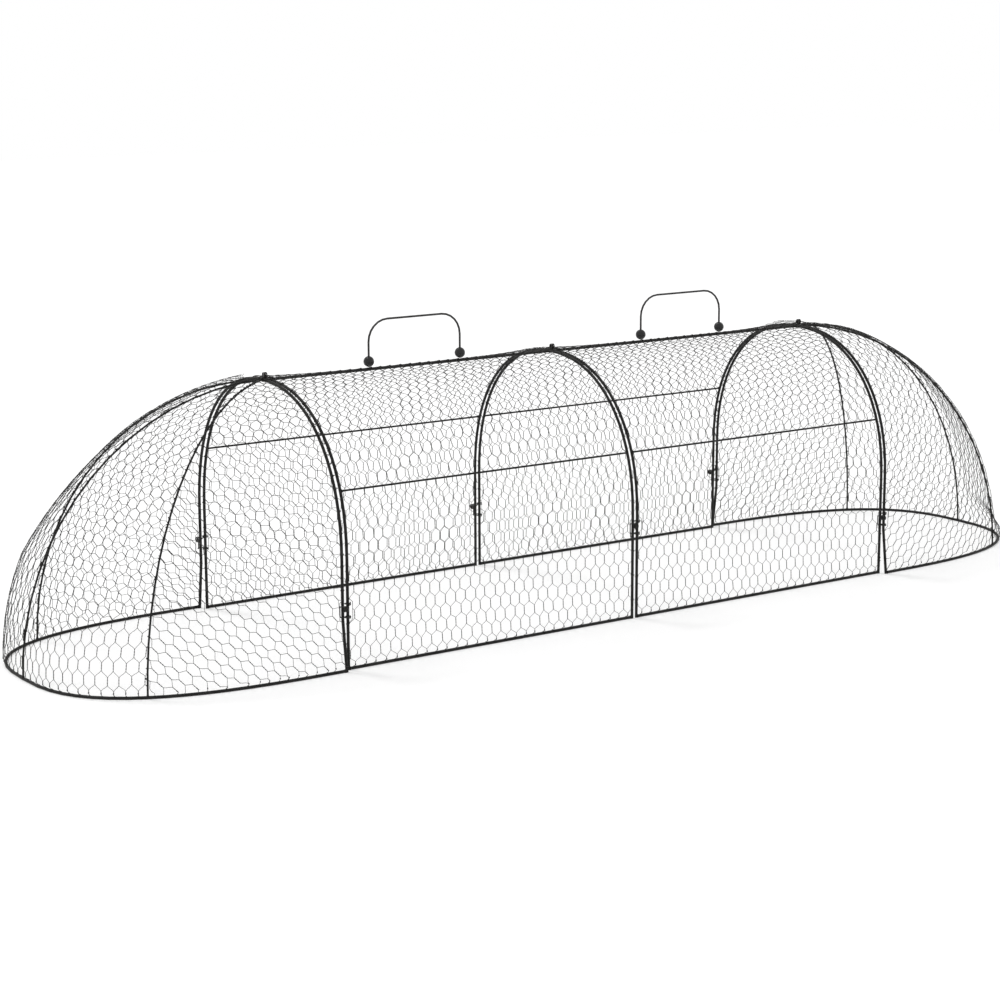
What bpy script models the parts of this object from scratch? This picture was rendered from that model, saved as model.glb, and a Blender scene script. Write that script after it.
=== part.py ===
"""A garden row tunnel of wire netting: two middle sections between two end domes.

X runs along the tunnel, Y across it and Z up from the ground. The origin is on the ground in the
middle of the tunnel. The near side is -Y, the far side is +Y, and the left dome is at -X.
"""

import math

import bmesh
import bpy
from mathutils import Matrix, Vector

# Sections, in metres. Widths and heights are measured between rod centres.
MIDDLE_LENGTH = 0.551
ARCH_SPACING = 0.009
ARCH_WIDTH = 0.470
ARCH_HEIGHT = 0.424
LEG_HEIGHT = 0.175
ARCH_FULLNESS = 2.2
SIDE_ROD_HEIGHT = 0.280
DOME_DEPTH = 0.426
DOME_FULLNESS = 2.8
DOME_SPREAD = 0.010
RIB_ANGLE = math.radians(32.4)

# Rods and netting
FRAME_ROD = 0.005
THIN_ROD = 0.0032
NET_WIRE = 0.0007
NET_HEM = 0.001
SEAT_GAP = 0.0003

# The netting's bars, which stand for its fine mesh, and how many openings they leave
NET_BAR = 0.004
OPENINGS_ALONG = 6
OPENINGS_ROUND = 12
OPENINGS_PER_GORE = 2
LEVELS_PER_OPENING = 2
# How flat it is pulled between the ribs of a dome's front, and from which height to which it gets so
NET_TAUT = 0.8
NET_TAUT_HEIGHTS = {"left": (0.17, 0.36), "right": (0.02, 0.07)}

# Carrying handles
HANDLE_SPAN = 0.178
HANDLE_RISE = 0.0676
HANDLE_CORNER = 0.036
HANDLE_WIRE = 0.0035
BALL_SIZE = 0.018

# Wire latches
LATCH_HEIGHT = 0.095
LATCH_SLID_UP = {"left": (0.0, 0.020), "centre": (0.060, 0.009), "right": (0.004, 0.010)}
LATCH_WIRE = 0.002
LATCH_ARM_GAP = 0.018
LATCH_LOOP = 0.008
LATCH_RUNNING_GAP = 0.001
LATCH_LIP = 0.001
LATCH_TURNS = 1.25
LOOP_TURNS = 2.75
COIL_GAP = 0.0004

# Smoothness of the round shapes
ROD_SIDES = 10
WIRE_SIDES = 6
ARCH_STEPS = 36
DOME_LEVELS = 16
DOME_COLUMNS = 8
CORNER_STEPS = 6
COIL_STEPS = 8
BALL_SIDES = 16
BALL_STEPS = 8

# Sizes worked out from those above
HALF_WIDTH = ARCH_WIDTH / 2
ROD_RADIUS = FRAME_ROD / 2
BUTT_GAP = ROD_RADIUS + SEAT_GAP
NET_INSIDE = ROD_RADIUS + SEAT_GAP
NET_OUTSIDE = NET_INSIDE + NET_WIRE
THIN_ROD_LIFT = (FRAME_ROD - THIN_ROD) / 2
COIL_RADIUS = ROD_RADIUS + LATCH_RUNNING_GAP + LATCH_WIRE / 2
COIL_PITCH = LATCH_WIRE + COIL_GAP
LATCH_HALF_LENGTH = LATCH_ARM_GAP / 2 + LATCH_TURNS * COIL_PITCH + LATCH_WIRE
SPREAD_HEIGHT = LATCH_HEIGHT - LATCH_HALF_LENGTH - SEAT_GAP
NET_END_INSET = COIL_RADIUS + LATCH_WIRE / 2 + LATCH_LIP
MIDDLE_PITCH = MIDDLE_LENGTH + ARCH_SPACING
BASE_ROD_Z = ROD_RADIUS * math.cos(math.pi / ROD_SIDES)
BASE_ROD_TOP = 2 * BASE_ROD_Z

# Colours and surfaces: name, colour, roughness, metallic
FINISHES = {
    "frame_rod": ((0.020, 0.0195, 0.019), 0.45, 0.00),
    "netting": ((0.036, 0.035, 0.034), 0.45, 0.00),
    "handle_wire": ((0.030, 0.029, 0.028), 0.38, 0.00),
    "ball": ((0.012, 0.012, 0.012), 0.18, 0.00),
    "latch_wire": ((0.016, 0.0155, 0.015), 0.38, 0.00),
}


def clear_scene():
    for old in list(bpy.data.objects):
        bpy.data.objects.remove(old, do_unlink=True)


def finish(name):
    """Return the material of that name, made on first use."""
    material = bpy.data.materials.get(name)
    if material is None:
        colour, roughness, metallic = FINISHES[name]
        material = bpy.data.materials.new(name)
        material.use_nodes = True
        shader = material.node_tree.nodes["Principled BSDF"]
        shader.inputs["Base Color"].default_value = (*colour, 1.0)
        shader.inputs["Roughness"].default_value = roughness
        shader.inputs["Metallic"].default_value = metallic
    return material


def add_object(name, mesh, finish_name):
    """Put a mesh into the scene as one named piece."""
    if not mesh.materials:
        mesh.materials.append(finish(finish_name))
    piece = bpy.data.objects.new(name, mesh)
    bpy.context.scene.collection.objects.link(piece)
    return piece


def mesh_from(name, corners, faces, sharp_angle=40.0):
    """Make a smooth-shaded mesh from corner points and faces."""
    mesh = bpy.data.meshes.new(name)
    mesh.from_pydata([tuple(corner) for corner in corners], [], faces)
    mesh.validate()
    mesh.shade_smooth()
    mesh.set_sharp_from_angle(angle=math.radians(sharp_angle))
    return mesh


def tube_mesh(name, path, diameter, sides, flat_side):
    """Sweep a round section along a path, with mitred bends and closed ends.

    One flat of the section faces flat_side at the path's start.
    """
    directions = [(b - a).normalized() for a, b in zip(path, path[1:])]
    start = directions[0]
    facing = (flat_side - start * flat_side.dot(start)).normalized()
    across = start.cross(facing)
    half_step = math.pi / sides
    spokes = []
    for index in range(sides):
        angle = half_step + 2 * half_step * index
        spokes.append((facing * math.cos(angle) + across * math.sin(angle)) * diameter / 2)
    corners = []
    for index, point in enumerate(path):
        arriving = directions[max(index - 1, 0)]
        leaving = directions[min(index, len(directions) - 1)]
        mitre = (arriving + leaving).normalized()
        for spoke in spokes:
            slide = spoke.dot(mitre) / arriving.dot(mitre)
            corners.append(point + spoke - arriving * slide)
        turn = arriving.rotation_difference(leaving)
        spokes = [turn @ spoke for spoke in spokes]
    faces = []
    for ring in range(len(path) - 1):
        for side in range(sides):
            a = ring * sides + side
            b = ring * sides + (side + 1) % sides
            faces.append((a, b, b + sides, a + sides))
    last = (len(path) - 1) * sides
    faces.append(tuple(reversed(range(sides))))
    faces.append(tuple(range(last, last + sides)))
    return mesh_from(name, corners, faces)


def openwork_mesh(name, place, patches):
    """A thin sheet that is solid on its four-cornered patches and open between them.

    A corner is a pair of sheet measures, and place turns it and an offset into a point.
    """
    corners = []
    found = {}

    def at(spot, offset):
        if (spot, offset) not in found:
            found[spot, offset] = len(corners)
            corners.append(place(*spot, offset))
        return found[spot, offset]

    faces = []
    borders = {}
    for patch in patches:
        for offset in (NET_INSIDE, NET_OUTSIDE):
            faces.append([at(spot, offset) for spot in patch])
        for side in zip(patch, patch[1:] + patch[:1]):
            borders.setdefault(frozenset(side), []).append(side)
    for sides in borders.values():
        if len(sides) == 1:
            start, end = sides[0]
            wall = (start, NET_INSIDE), (end, NET_INSIDE), (end, NET_OUTSIDE), (start, NET_OUTSIDE)
            faces.append([at(*corner) for corner in wall])
    mesh = mesh_from(name, corners, faces)
    tidy = bmesh.new()
    tidy.from_mesh(mesh)
    bmesh.ops.recalc_face_normals(tidy, faces=tidy.faces)
    tidy.to_mesh(mesh)
    tidy.free()
    return mesh


def bar_edges(start, end, openings, bar):
    """Where each of a row of bars starts and ends, with a bar at either end of the row."""
    edges = []
    for index in range(openings + 1):
        middle = start + (end - start) * index / openings
        low = min(max(middle - bar / 2, start), end - bar)
        edges.append((low, low + bar))
    return edges


def grid_patches(uprights_at, crossbars, columns_between, rows_between):
    """The patches of a grid of upright bars and crossbars.

    uprights_at gives the uprights' edges at a height, columns_between the corners of a crossbar
    between two uprights, and rows_between those of the uprights between two crossbars.
    """
    patches = []
    for index, (low, high) in enumerate(crossbars):
        lower = uprights_at(low)
        upper = uprights_at(high)
        below = list(lower[0])
        above = list(upper[0])
        for bar in range(1, len(lower)):
            between = columns_between(index, bar)
            below += [*between, *lower[bar]]
            above += [*between, *upper[bar]]
        for step in range(len(below) - 1):
            start, end = step, step + 1
            patches.append((
                (below[start], low), (below[end], low), (above[end], high), (above[start], high)
            ))
    for index in range(len(crossbars) - 1):
        rows = [crossbars[index][1], *rows_between(index), crossbars[index + 1][0]]
        for low, high in zip(rows, rows[1:]):
            for (a, b), (d, c) in zip(uprights_at(low), uprights_at(high)):
                patches.append(((a, low), (b, low), (c, high), (d, high)))
    return patches


def signed_power(value, exponent):
    return math.copysign(abs(value) ** exponent, value)


def arch_half_width(height, offset, spread):
    """Half the arch's width at a height, with the outline moved outwards by offset."""
    if height < SPREAD_HEIGHT:
        return HALF_WIDTH + offset + spread * (1 - height / SPREAD_HEIGHT)
    if height <= LEG_HEIGHT:
        return HALF_WIDTH + offset
    climb = min((height - LEG_HEIGHT) / (ARCH_HEIGHT + offset - LEG_HEIGHT), 1.0)
    return (HALF_WIDTH + offset) * (1 - climb ** ARCH_FULLNESS) ** (1 / ARCH_FULLNESS)


def arch_outline(foot, offset, spread):
    """The (y, z) points of an arch from its near foot over the top to its far foot."""
    rise = ARCH_HEIGHT + offset - LEG_HEIGHT
    legs = [(HALF_WIDTH + offset + spread * (1 - foot / SPREAD_HEIGHT), foot)]
    if spread:
        legs.append((HALF_WIDTH + offset, SPREAD_HEIGHT))
    points = [(-y, z) for y, z in legs]
    for step in range(ARCH_STEPS + 1):
        angle = math.pi * step / ARCH_STEPS
        y = -(HALF_WIDTH + offset) * signed_power(math.cos(angle), 2 / ARCH_FULLNESS)
        z = LEG_HEIGHT + rise * math.sin(angle) ** (2 / ARCH_FULLNESS)
        points.append((y, z))
    points += list(reversed(legs))
    return points


def add_rod(name, start, end, diameter):
    """A straight rod with one of its flats facing the ground."""
    mesh = tube_mesh(name, [Vector(start), Vector(end)], diameter, ROD_SIDES, Vector((0, 0, -1)))
    return add_object(name, mesh, "frame_rod")


def add_arch(name, x, spread=0.0):
    path = [Vector((x, y, z)) for y, z in arch_outline(0.0, 0.0, spread)]
    mesh = tube_mesh(name, path, FRAME_ROD, ROD_SIDES, Vector((1, 0, 0)))
    return add_object(name, mesh, "frame_rod")


def spot_on(outline, share):
    """The (y, z) point at a share of an outline's length."""
    lengths = [math.dist(a, b) for a, b in zip(outline, outline[1:])]
    rest = share * sum(lengths)
    for start, end, length in zip(outline, outline[1:], lengths):
        if rest <= length:
            return Vector(start).lerp(Vector(end), rest / length)
        rest -= length
    return Vector(outline[-1])


def middle_crossbars():
    """Where the crossbars of a middle section lie, in shares of the way round its netting."""
    outline = arch_outline(NET_HEM, NET_INSIDE, 0.0)
    around = sum(math.dist(a, b) for a, b in zip(outline, outline[1:]))
    return bar_edges(0.0, 1.0, OPENINGS_ROUND, NET_BAR / around)


def middle_row_between(index):
    return (index + 0.5) / OPENINGS_ROUND


def side_rod_seat():
    """The (y, z) centre of the far side rod, seated against the netting's inner face."""
    outline = arch_outline(NET_HEM, NET_INSIDE, 0.0)
    shares = [share for bar in middle_crossbars() for share in bar]
    shares += [middle_row_between(index) for index in range(OPENINGS_ROUND)]
    far_half = [spot_on(outline, share) for share in sorted(shares) if share > 0.5]
    for (y0, z0), (y1, z1) in zip(far_half, far_half[1:]):
        if z1 <= SIDE_ROD_HEIGHT <= z0:
            share = (z0 - SIDE_ROD_HEIGHT) / (z0 - z1)
            along = Vector((y1 - y0, z1 - z0)).normalized()
            inward = Vector((along.y, -along.x))
            contact = Vector((y0, z0)).lerp(Vector((y1, z1)), share)
            return contact + inward * (SEAT_GAP + THIN_ROD / 2)
    raise ValueError("the side rods lie outside the arch")


def add_middle_netting(name, left_x, right_x):
    """The netting over a middle section, as a grid of bars round the frame."""
    uprights = bar_edges(left_x + NET_END_INSET, right_x - NET_END_INSET, OPENINGS_ALONG, NET_BAR)
    outlines = {offset: arch_outline(NET_HEM, offset, 0.0) for offset in (NET_INSIDE, NET_OUTSIDE)}

    def place(x, share, offset):
        y, z = spot_on(outlines[offset], share)
        return Vector((x, y, z))

    patches = grid_patches(
        lambda share: uprights,
        middle_crossbars(),
        lambda crossbar, upright: [],
        lambda index: [middle_row_between(index)],
    )
    return add_object(name, openwork_mesh(name, place, patches), "netting")


def bead_mesh(name):
    """A ball with a hole through it for the handle's wire, turned round the Z axis."""
    radius = BALL_SIZE / 2
    bore = HANDLE_WIRE / 2 + SEAT_GAP
    edge = math.asin(bore / radius)
    profile = []
    for step in range(BALL_STEPS + 1):
        angle = edge + (math.pi - 2 * edge) * step / BALL_STEPS
        profile.append((radius * math.sin(angle), radius * math.cos(angle)))
    corners = []
    for side in range(BALL_SIDES):
        turn = 2 * math.pi * side / BALL_SIDES
        corners += [(r * math.cos(turn), r * math.sin(turn), z) for r, z in profile]
    count = len(profile)
    faces = []
    for side in range(BALL_SIDES):
        here = side * count
        there = (side + 1) % BALL_SIDES * count
        for step in range(count):
            after = (step + 1) % count
            faces.append((here + step, here + after, there + after, there + step))
    return mesh_from(name, corners, faces)


def add_handle(name, centre_x, ball_names):
    """A bent-wire handle on two balls that stand on the ridge."""
    foot = ARCH_HEIGHT + NET_OUTSIDE + SEAT_GAP
    ball_z = foot + BALL_SIZE / 2
    top = ball_z + HANDLE_RISE
    half = HANDLE_SPAN / 2
    path = [Vector((centre_x - half, 0, foot))]
    for sign in (-1, 1):
        for step in range(CORNER_STEPS + 1):
            share = step if sign < 0 else CORNER_STEPS - step
            angle = math.pi / 2 * share / CORNER_STEPS
            x = centre_x + sign * (half - HANDLE_CORNER + HANDLE_CORNER * math.cos(angle))
            z = top - HANDLE_CORNER + HANDLE_CORNER * math.sin(angle)
            path.append(Vector((x, 0, z)))
    path.append(Vector((centre_x + half, 0, foot)))
    mesh = tube_mesh(name, path, HANDLE_WIRE, ROD_SIDES, Vector((0, 1, 0)))
    add_object(name, mesh, "handle_wire")
    bead = bead_mesh("handle_ball")
    for ball_name, x in zip(ball_names, (centre_x - half, centre_x + half)):
        ball = add_object(ball_name, bead, "ball")
        ball.location = (x, 0, ball_z)


def add_middle_section(side, centre_x):
    """One arched middle section with its rods, netting and handle."""
    left_x = centre_x - MIDDLE_LENGTH / 2
    right_x = centre_x + MIDDLE_LENGTH / 2
    add_arch(side + "_middle_left_arch", left_x)
    add_arch(side + "_middle_right_arch", right_x)
    start = left_x + BUTT_GAP
    end = right_x - BUTT_GAP
    ridge = ((start, 0, ARCH_HEIGHT), (end, 0, ARCH_HEIGHT))
    add_rod(side + "_middle_ridge_rod", *ridge, FRAME_ROD)
    seat = side_rod_seat()
    for edge, sign in (("near", -1), ("far", 1)):
        base_y = sign * HALF_WIDTH
        base_name = f"{side}_middle_{edge}_base_rod"
        add_rod(base_name, (start, base_y, BASE_ROD_Z), (end, base_y, BASE_ROD_Z), FRAME_ROD)
        side_y = sign * seat.x
        side_name = f"{side}_middle_{edge}_side_rod"
        add_rod(side_name, (start, side_y, seat.y), (end, side_y, seat.y), THIN_ROD)
    add_middle_netting(side + "_middle_netting", left_x, right_x)
    balls = (side + "_handle_left_ball", side + "_handle_right_ball")
    add_handle(side + "_handle", centre_x, balls)


def plan_point(turn, offset):
    """Depth and width of the dome's base outline, turn running from far foot to near foot."""
    depth = (DOME_DEPTH + offset) * math.sin(turn) ** (2 / DOME_FULLNESS)
    width = HALF_WIDTH + DOME_SPREAD + offset
    return depth, width * signed_power(math.cos(turn), 2 / DOME_FULLNESS)


def rib_turn():
    """The turn at which a side rib stands on the base outline."""
    slope = math.tan(RIB_ANGLE) * DOME_DEPTH / (HALF_WIDTH + DOME_SPREAD)
    return math.atan(slope ** (-DOME_FULLNESS / 2))


def dome_point(turn, climb, offset):
    """Depth, y and z of a point on the dome, climb running from ground to top."""
    depth, y = plan_point(turn, offset)
    z = (ARCH_HEIGHT + offset) * math.sin(climb)
    rib_depth, _ = plan_point(rib_turn(), offset)
    arch_share = max(0.0, 1 - depth / rib_depth)
    arch_foot = HALF_WIDTH + DOME_SPREAD + offset
    on_rib = math.cos(climb)
    on_arch = arch_half_width(max(z - BASE_ROD_TOP, 0.0), offset, DOME_SPREAD) / arch_foot
    reach = on_rib * (1 - arch_share) + on_arch * arch_share
    return depth * reach, y * reach, z


def netting_point(turn, climb, offset, taut_heights):
    """A point of the dome, pulled in towards the straight line between its two ribs."""
    spot = Vector(dome_point(turn, climb, offset))
    gore = math.pi / 2 - rib_turn()
    share = abs(turn - math.pi / 2) / gore
    if share > 1:
        return spot
    rib = math.pi / 2 + math.copysign(gore, turn - math.pi / 2)
    centre = Vector(dome_point(math.pi / 2, climb, offset))
    straight = centre.lerp(Vector(dome_point(rib, climb, offset)), share)
    low, high = taut_heights
    pull = NET_TAUT * min(max((spot.z - low) / (high - low), 0.0), 1.0)
    return spot.lerp(straight, pull * (1 - abs(2 * share - 1) ** 6))


def dome_turns(first):
    """The turns from one end of the dome's outline to the other, by way of its three ribs."""
    rib = rib_turn()
    turns = [first + (rib - first) * step / DOME_COLUMNS for step in range(DOME_COLUMNS)]
    turns += [rib + (math.pi / 2 - rib) * step / DOME_COLUMNS for step in range(DOME_COLUMNS)]
    return turns + [math.pi / 2] + [math.pi - turn for turn in reversed(turns)]


def first_turn(climb, offset):
    """The turn at which the dome's netting starts, clear of the arch and its latches."""
    low, high = 0.0, rib_turn()
    for _ in range(40):
        middle = (low + high) / 2
        if dome_point(middle, climb, offset)[0] < NET_END_INSET:
            low = middle
        else:
            high = middle
    return high


def inner_levels():
    return [math.pi / 2 * level / DOME_LEVELS for level in range(1, DOME_LEVELS)]


def add_dome_netting(name, arch_x, outward, taut_heights):
    """The netting over a dome, as bars up it, over its ribs and between them, and rings round it."""
    rib_depth, _ = plan_point(rib_turn(), NET_OUTSIDE)
    top = math.acos(1.3 * NET_END_INSET / rib_depth)
    last_column = 4 * DOME_COLUMNS
    spacing = DOME_COLUMNS // OPENINGS_PER_GORE
    foot = [math.asin(z / (ARCH_HEIGHT + NET_INSIDE)) for z in (NET_HEM, BASE_ROD_TOP)]
    levels = inner_levels()
    half_bar = NET_BAR / 2 / ARCH_HEIGHT
    rings = levels[LEVELS_PER_OPENING - 1:-LEVELS_PER_OPENING:LEVELS_PER_OPENING]
    crossbars = [tuple(foot)]
    crossbars += [(climb - half_bar, climb + half_bar) for climb in rings]
    crossbars.append((levels[-1], top))

    def place(column, climb, offset):
        turns = dome_turns(first_turn(climb, offset))
        start = min(int(column), last_column - 1)
        turn = turns[start] + (turns[start + 1] - turns[start]) * (column - start)
        depth, y, z = netting_point(turn, climb, offset, taut_heights)
        return Vector((arch_x + outward * depth, y, z))

    def uprights_at(climb):
        edges = []
        for column in range(0, last_column + 1, spacing):
            left = max(column - 0.5, 0)
            right = min(column + 0.5, last_column)
            reach = place(right, climb, NET_INSIDE) - place(left, climb, NET_INSIDE)
            bar = min(NET_BAR * (right - left) / reach.length, spacing / 2)
            low = min(max(column - bar / 2, 0), last_column - bar)
            edges.append((low, low + bar))
        return edges

    def columns_between(crossbar, upright):
        first = (upright - 1) * spacing
        if crossbar == 0:
            return range(first + 1, first + spacing)
        return [first + spacing // 2]

    def rows_between(index):
        low = crossbars[index][1]
        high = crossbars[index + 1][0]
        return [climb for climb in levels if low < climb < high]

    patches = grid_patches(uprights_at, crossbars, columns_between, rows_between)
    return add_object(name, openwork_mesh(name, place, patches), "netting")


def add_rib(name, arch_x, outward, foot_turn, end_gap):
    """A thin rib from its foot on the base hoop up to end_gap short of the dome's top."""
    foot_depth, foot_y = plan_point(foot_turn, THIN_ROD_LIFT)
    height = ARCH_HEIGHT + THIN_ROD_LIFT
    lowest = math.asin((BASE_ROD_TOP + SEAT_GAP) / height)
    highest = math.acos(end_gap / math.hypot(foot_depth, foot_y))
    path = []
    for climb in [lowest] + inner_levels() + [highest]:
        reach = math.cos(climb)
        x = arch_x + outward * foot_depth * reach
        path.append(Vector((x, foot_y * reach, height * math.sin(climb))))
    mesh = tube_mesh(name, path, THIN_ROD, ROD_SIDES, Vector((0, 1, 0)))
    return add_object(name, mesh, "frame_rod")


def add_hoop(name, arch_x, outward):
    """The base rod that runs round the dome from one arch foot to the other."""
    first = math.asin((BUTT_GAP / DOME_DEPTH) ** (DOME_FULLNESS / 2))
    path = []
    for turn in dome_turns(first):
        depth, y = plan_point(turn, 0.0)
        path.append(Vector((arch_x + outward * depth, y, BASE_ROD_Z)))
    mesh = tube_mesh(name, path, FRAME_ROD, ROD_SIDES, Vector((0, 0, -1)))
    return add_object(name, mesh, "frame_rod")


def add_dome(side, outward):
    """One end dome with its arch, base hoop, ribs and netting."""
    arch_x = outward * (MIDDLE_PITCH + ARCH_SPACING / 2)
    add_arch(side + "_dome_arch", arch_x, DOME_SPREAD)
    add_hoop(side + "_dome_base_hoop", arch_x, outward)
    rib = rib_turn()
    beside_centre_rib = THIN_ROD / 2 * (1 + math.cos(RIB_ANGLE)) + SEAT_GAP
    behind_latch = COIL_RADIUS + LATCH_WIRE / 2 + SEAT_GAP + THIN_ROD / 2 * math.sin(RIB_ANGLE)
    side_gap = max(beside_centre_rib / math.sin(RIB_ANGLE), behind_latch / math.cos(RIB_ANGLE))
    add_rib(side + "_dome_centre_rib", arch_x, outward, math.pi / 2, BUTT_GAP)
    add_rib(side + "_dome_far_rib", arch_x, outward, rib, side_gap)
    add_rib(side + "_dome_near_rib", arch_x, outward, math.pi - rib, side_gap)
    add_dome_netting(side + "_dome_netting", arch_x, outward, NET_TAUT_HEIGHTS[side])


def latch_path(hand, over_ridge):
    """The bent wire of a latch in its own axes.

    The first axis points from the rod it turns on to the rod it hooks over, the second points
    outwards from the tunnel, and the third lies along the rods. Its two coils wrap the first rod,
    one arm passes outside the second one and its lip drops behind it. The lip of a top latch steps
    over the ridge rod. The other arm comes back by way of a coiled loop that stands out for a finger.
    """
    arm = LATCH_ARM_GAP / 2
    far_side = ARCH_SPACING + COIL_RADIUS
    loop_radius = LATCH_LOOP / 2
    step_side = ROD_RADIUS + LATCH_RUNNING_GAP + LATCH_WIRE / 2
    steps = round(LATCH_TURNS * COIL_STEPS)
    points = []
    for step in range(steps + 1):
        angle = 2 * math.pi * (step - steps) / COIL_STEPS
        along = -arm - COIL_PITCH * (steps - step) / COIL_STEPS
        points.append((COIL_RADIUS * math.sin(angle), COIL_RADIUS * math.cos(angle), along))
    for step in range(4):
        angle = math.pi / 2 * (1 - step / 3)
        across = ARCH_SPACING + COIL_RADIUS * math.cos(angle)
        points.append((across, COIL_RADIUS * math.sin(angle), -arm))
    if over_ridge:
        points.append((far_side, -LATCH_LIP, -step_side))
        points.append((far_side, step_side, -step_side))
        points.append((far_side, step_side, step_side))
        points.append((far_side, -LATCH_LIP, step_side))
    else:
        points.append((far_side, -LATCH_LIP, -arm + LATCH_WIRE))
    points.append((far_side, -LATCH_LIP, arm - LATCH_WIRE))
    for step in range(round(LOOP_TURNS * COIL_STEPS) + 1):
        angle = 2 * math.pi * step / COIL_STEPS
        across = ARCH_SPACING + COIL_PITCH * (LOOP_TURNS / 2 - step / COIL_STEPS)
        out = COIL_RADIUS + loop_radius * (1 + math.sin(angle))
        points.append((across, out, arm - loop_radius * (1 - math.cos(angle))))
    for step in range(steps + 1):
        angle = -2 * math.pi * step / COIL_STEPS
        along = arm + COIL_PITCH * step / COIL_STEPS
        points.append((COIL_RADIUS * math.sin(angle), COIL_RADIUS * math.cos(angle), along))
    return [Vector((across, hand * out, along)) for across, out, along in points]


def add_latches():
    """Three latches at each junction, each turning on the right-hand section's arch."""
    near = tube_mesh("near_latch", latch_path(1, False), LATCH_WIRE, WIRE_SIDES, Vector((0, 0, 1)))
    far = tube_mesh("far_latch", latch_path(-1, False), LATCH_WIRE, WIRE_SIDES, Vector((0, 0, 1)))
    top = tube_mesh("top_latch", latch_path(-1, True), LATCH_WIRE, WIRE_SIDES, Vector((0, 0, 1)))
    upright = Matrix.Rotation(math.pi, 4, "Z")
    lying = Matrix(((-1, 0, 0, 0), (0, 0, -1, 0), (0, -1, 0, 0), (0, 0, 0, 1)))
    for junction, centre_x in (("left", -MIDDLE_PITCH), ("centre", 0.0), ("right", MIDDLE_PITCH)):
        x = centre_x + ARCH_SPACING / 2
        near_z, far_z = [LATCH_HEIGHT + slid for slid in LATCH_SLID_UP[junction]]
        places = (
            ("near", near, upright, (x, -HALF_WIDTH, near_z)),
            ("far", far, upright, (x, HALF_WIDTH, far_z)),
            ("top", top, lying, (x, 0, ARCH_HEIGHT)),
        )
        for place, mesh, turn, location in places:
            latch = add_object(f"{junction}_{place}_latch", mesh, "latch_wire")
            latch.matrix_world = Matrix.Translation(location) @ turn


def main():
    clear_scene()
    add_dome("left", -1)
    add_middle_section("left", -MIDDLE_PITCH / 2)
    add_middle_section("right", MIDDLE_PITCH / 2)
    add_dome("right", 1)
    add_latches()


main()
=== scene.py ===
"""Looks of a wire garden tunnel: hexagonal netting wrapped on a welded rod frame, in four sections.

Sizes are in metres. X runs along the tunnel, Y across it and Z up from the ground. The near side
is -Y and the left dome is at -X.
"""

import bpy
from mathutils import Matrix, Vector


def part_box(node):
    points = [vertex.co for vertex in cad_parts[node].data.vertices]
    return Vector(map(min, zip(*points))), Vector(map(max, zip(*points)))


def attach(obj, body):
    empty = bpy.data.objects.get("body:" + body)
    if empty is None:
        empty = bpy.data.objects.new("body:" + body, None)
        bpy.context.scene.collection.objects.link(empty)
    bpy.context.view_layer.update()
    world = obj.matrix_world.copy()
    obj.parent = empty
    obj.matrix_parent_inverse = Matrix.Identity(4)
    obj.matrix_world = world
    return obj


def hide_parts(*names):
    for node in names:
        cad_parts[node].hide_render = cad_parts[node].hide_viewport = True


bl_info = {
    "name": "Wire Garden Tunnel",
    "version": (1, 0, 0),
    "blender": (4, 5, 0),
    "location": "View3D > Sidebar > Garden Tunnel",
    "description": "Knits the netting of a wire garden tunnel and finishes its frame",
    "category": "Object",
}

import math

import bmesh
import bpy
import numpy as np
from bpy.props import FloatProperty, FloatVectorProperty, IntProperty, PointerProperty
from bpy.types import Operator, Panel, PropertyGroup
from mathutils import Matrix, Vector

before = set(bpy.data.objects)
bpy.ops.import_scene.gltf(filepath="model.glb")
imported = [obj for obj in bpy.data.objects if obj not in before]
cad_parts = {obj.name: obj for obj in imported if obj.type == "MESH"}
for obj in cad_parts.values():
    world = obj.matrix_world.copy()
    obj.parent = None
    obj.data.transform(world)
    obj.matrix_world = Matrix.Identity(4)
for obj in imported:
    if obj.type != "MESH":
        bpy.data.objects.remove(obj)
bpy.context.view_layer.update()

# The frame, as the solids have it
HALF_WIDTH = 0.235
ARCH_HEIGHT = 0.424
LEG_HEIGHT = 0.175
ARCH_FULLNESS = 2.2
DOME_DEPTH = 0.426
DOME_FULLNESS = 2.8
DOME_SPREAD = 0.010
SPREAD_HEIGHT = 0.0807
RIB_ANGLE = math.radians(32.4)
SIDE_ROD_HEIGHT = 0.280
FRAME_ROD_RADIUS = 0.0025
THIN_ROD_RADIUS = 0.0016
THIN_ROD_LIFT = 0.0009
BASE_ROD_Z = 0.00238
BASE_ROD_TOP = 0.00476

# How the netting lies on the frame: its lift off the rods' middles, the height of its foot, how
# far it is pulled flat between a dome's front ribs and between which heights that sets in, and
# how its sag runs in a middle section. A higher flatness keeps more of a span even.
NET_LIFT = 0.0034
NET_FOOT = 0.0064
NET_TAUT = 0.8
NET_TAUT_HEIGHTS = {"left": (0.17, 0.36), "right": (0.02, 0.07)}
TAUT_FLATNESS = 6
SAG_FLATNESS = 4
RIDGE_SAG_SKEW = 0.6
GORE_FOOT = 0.002
FRONT_GORE_TOP = math.radians(88.6)
SIDE_GORE_TOP = math.radians(87.8)

# What the netting keeps clear of
EDGE_MARGIN = 0.0005
LATCH_CLEARANCE = 0.0068
LATCH_MARGIN = 0.001
LATCH_EASE = 0.005
TOP_LATCH_SHARE = 0.4
JOINT_CLEARANCE = 0.006
WRAP_GAP = 0.0001

# The twists, in wire diameters and in shares of the looseness, and the crossings between them
FIRST_TWIST_TOP = 0.0125
TWIST_LOOSENESS = 0.65
TWIST_END_STRAY = 0.3
CROSSING_STRAIGHT = 0.55
CROSSING_EASED = 0.45
DOME_SEED_STEP = 10

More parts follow.
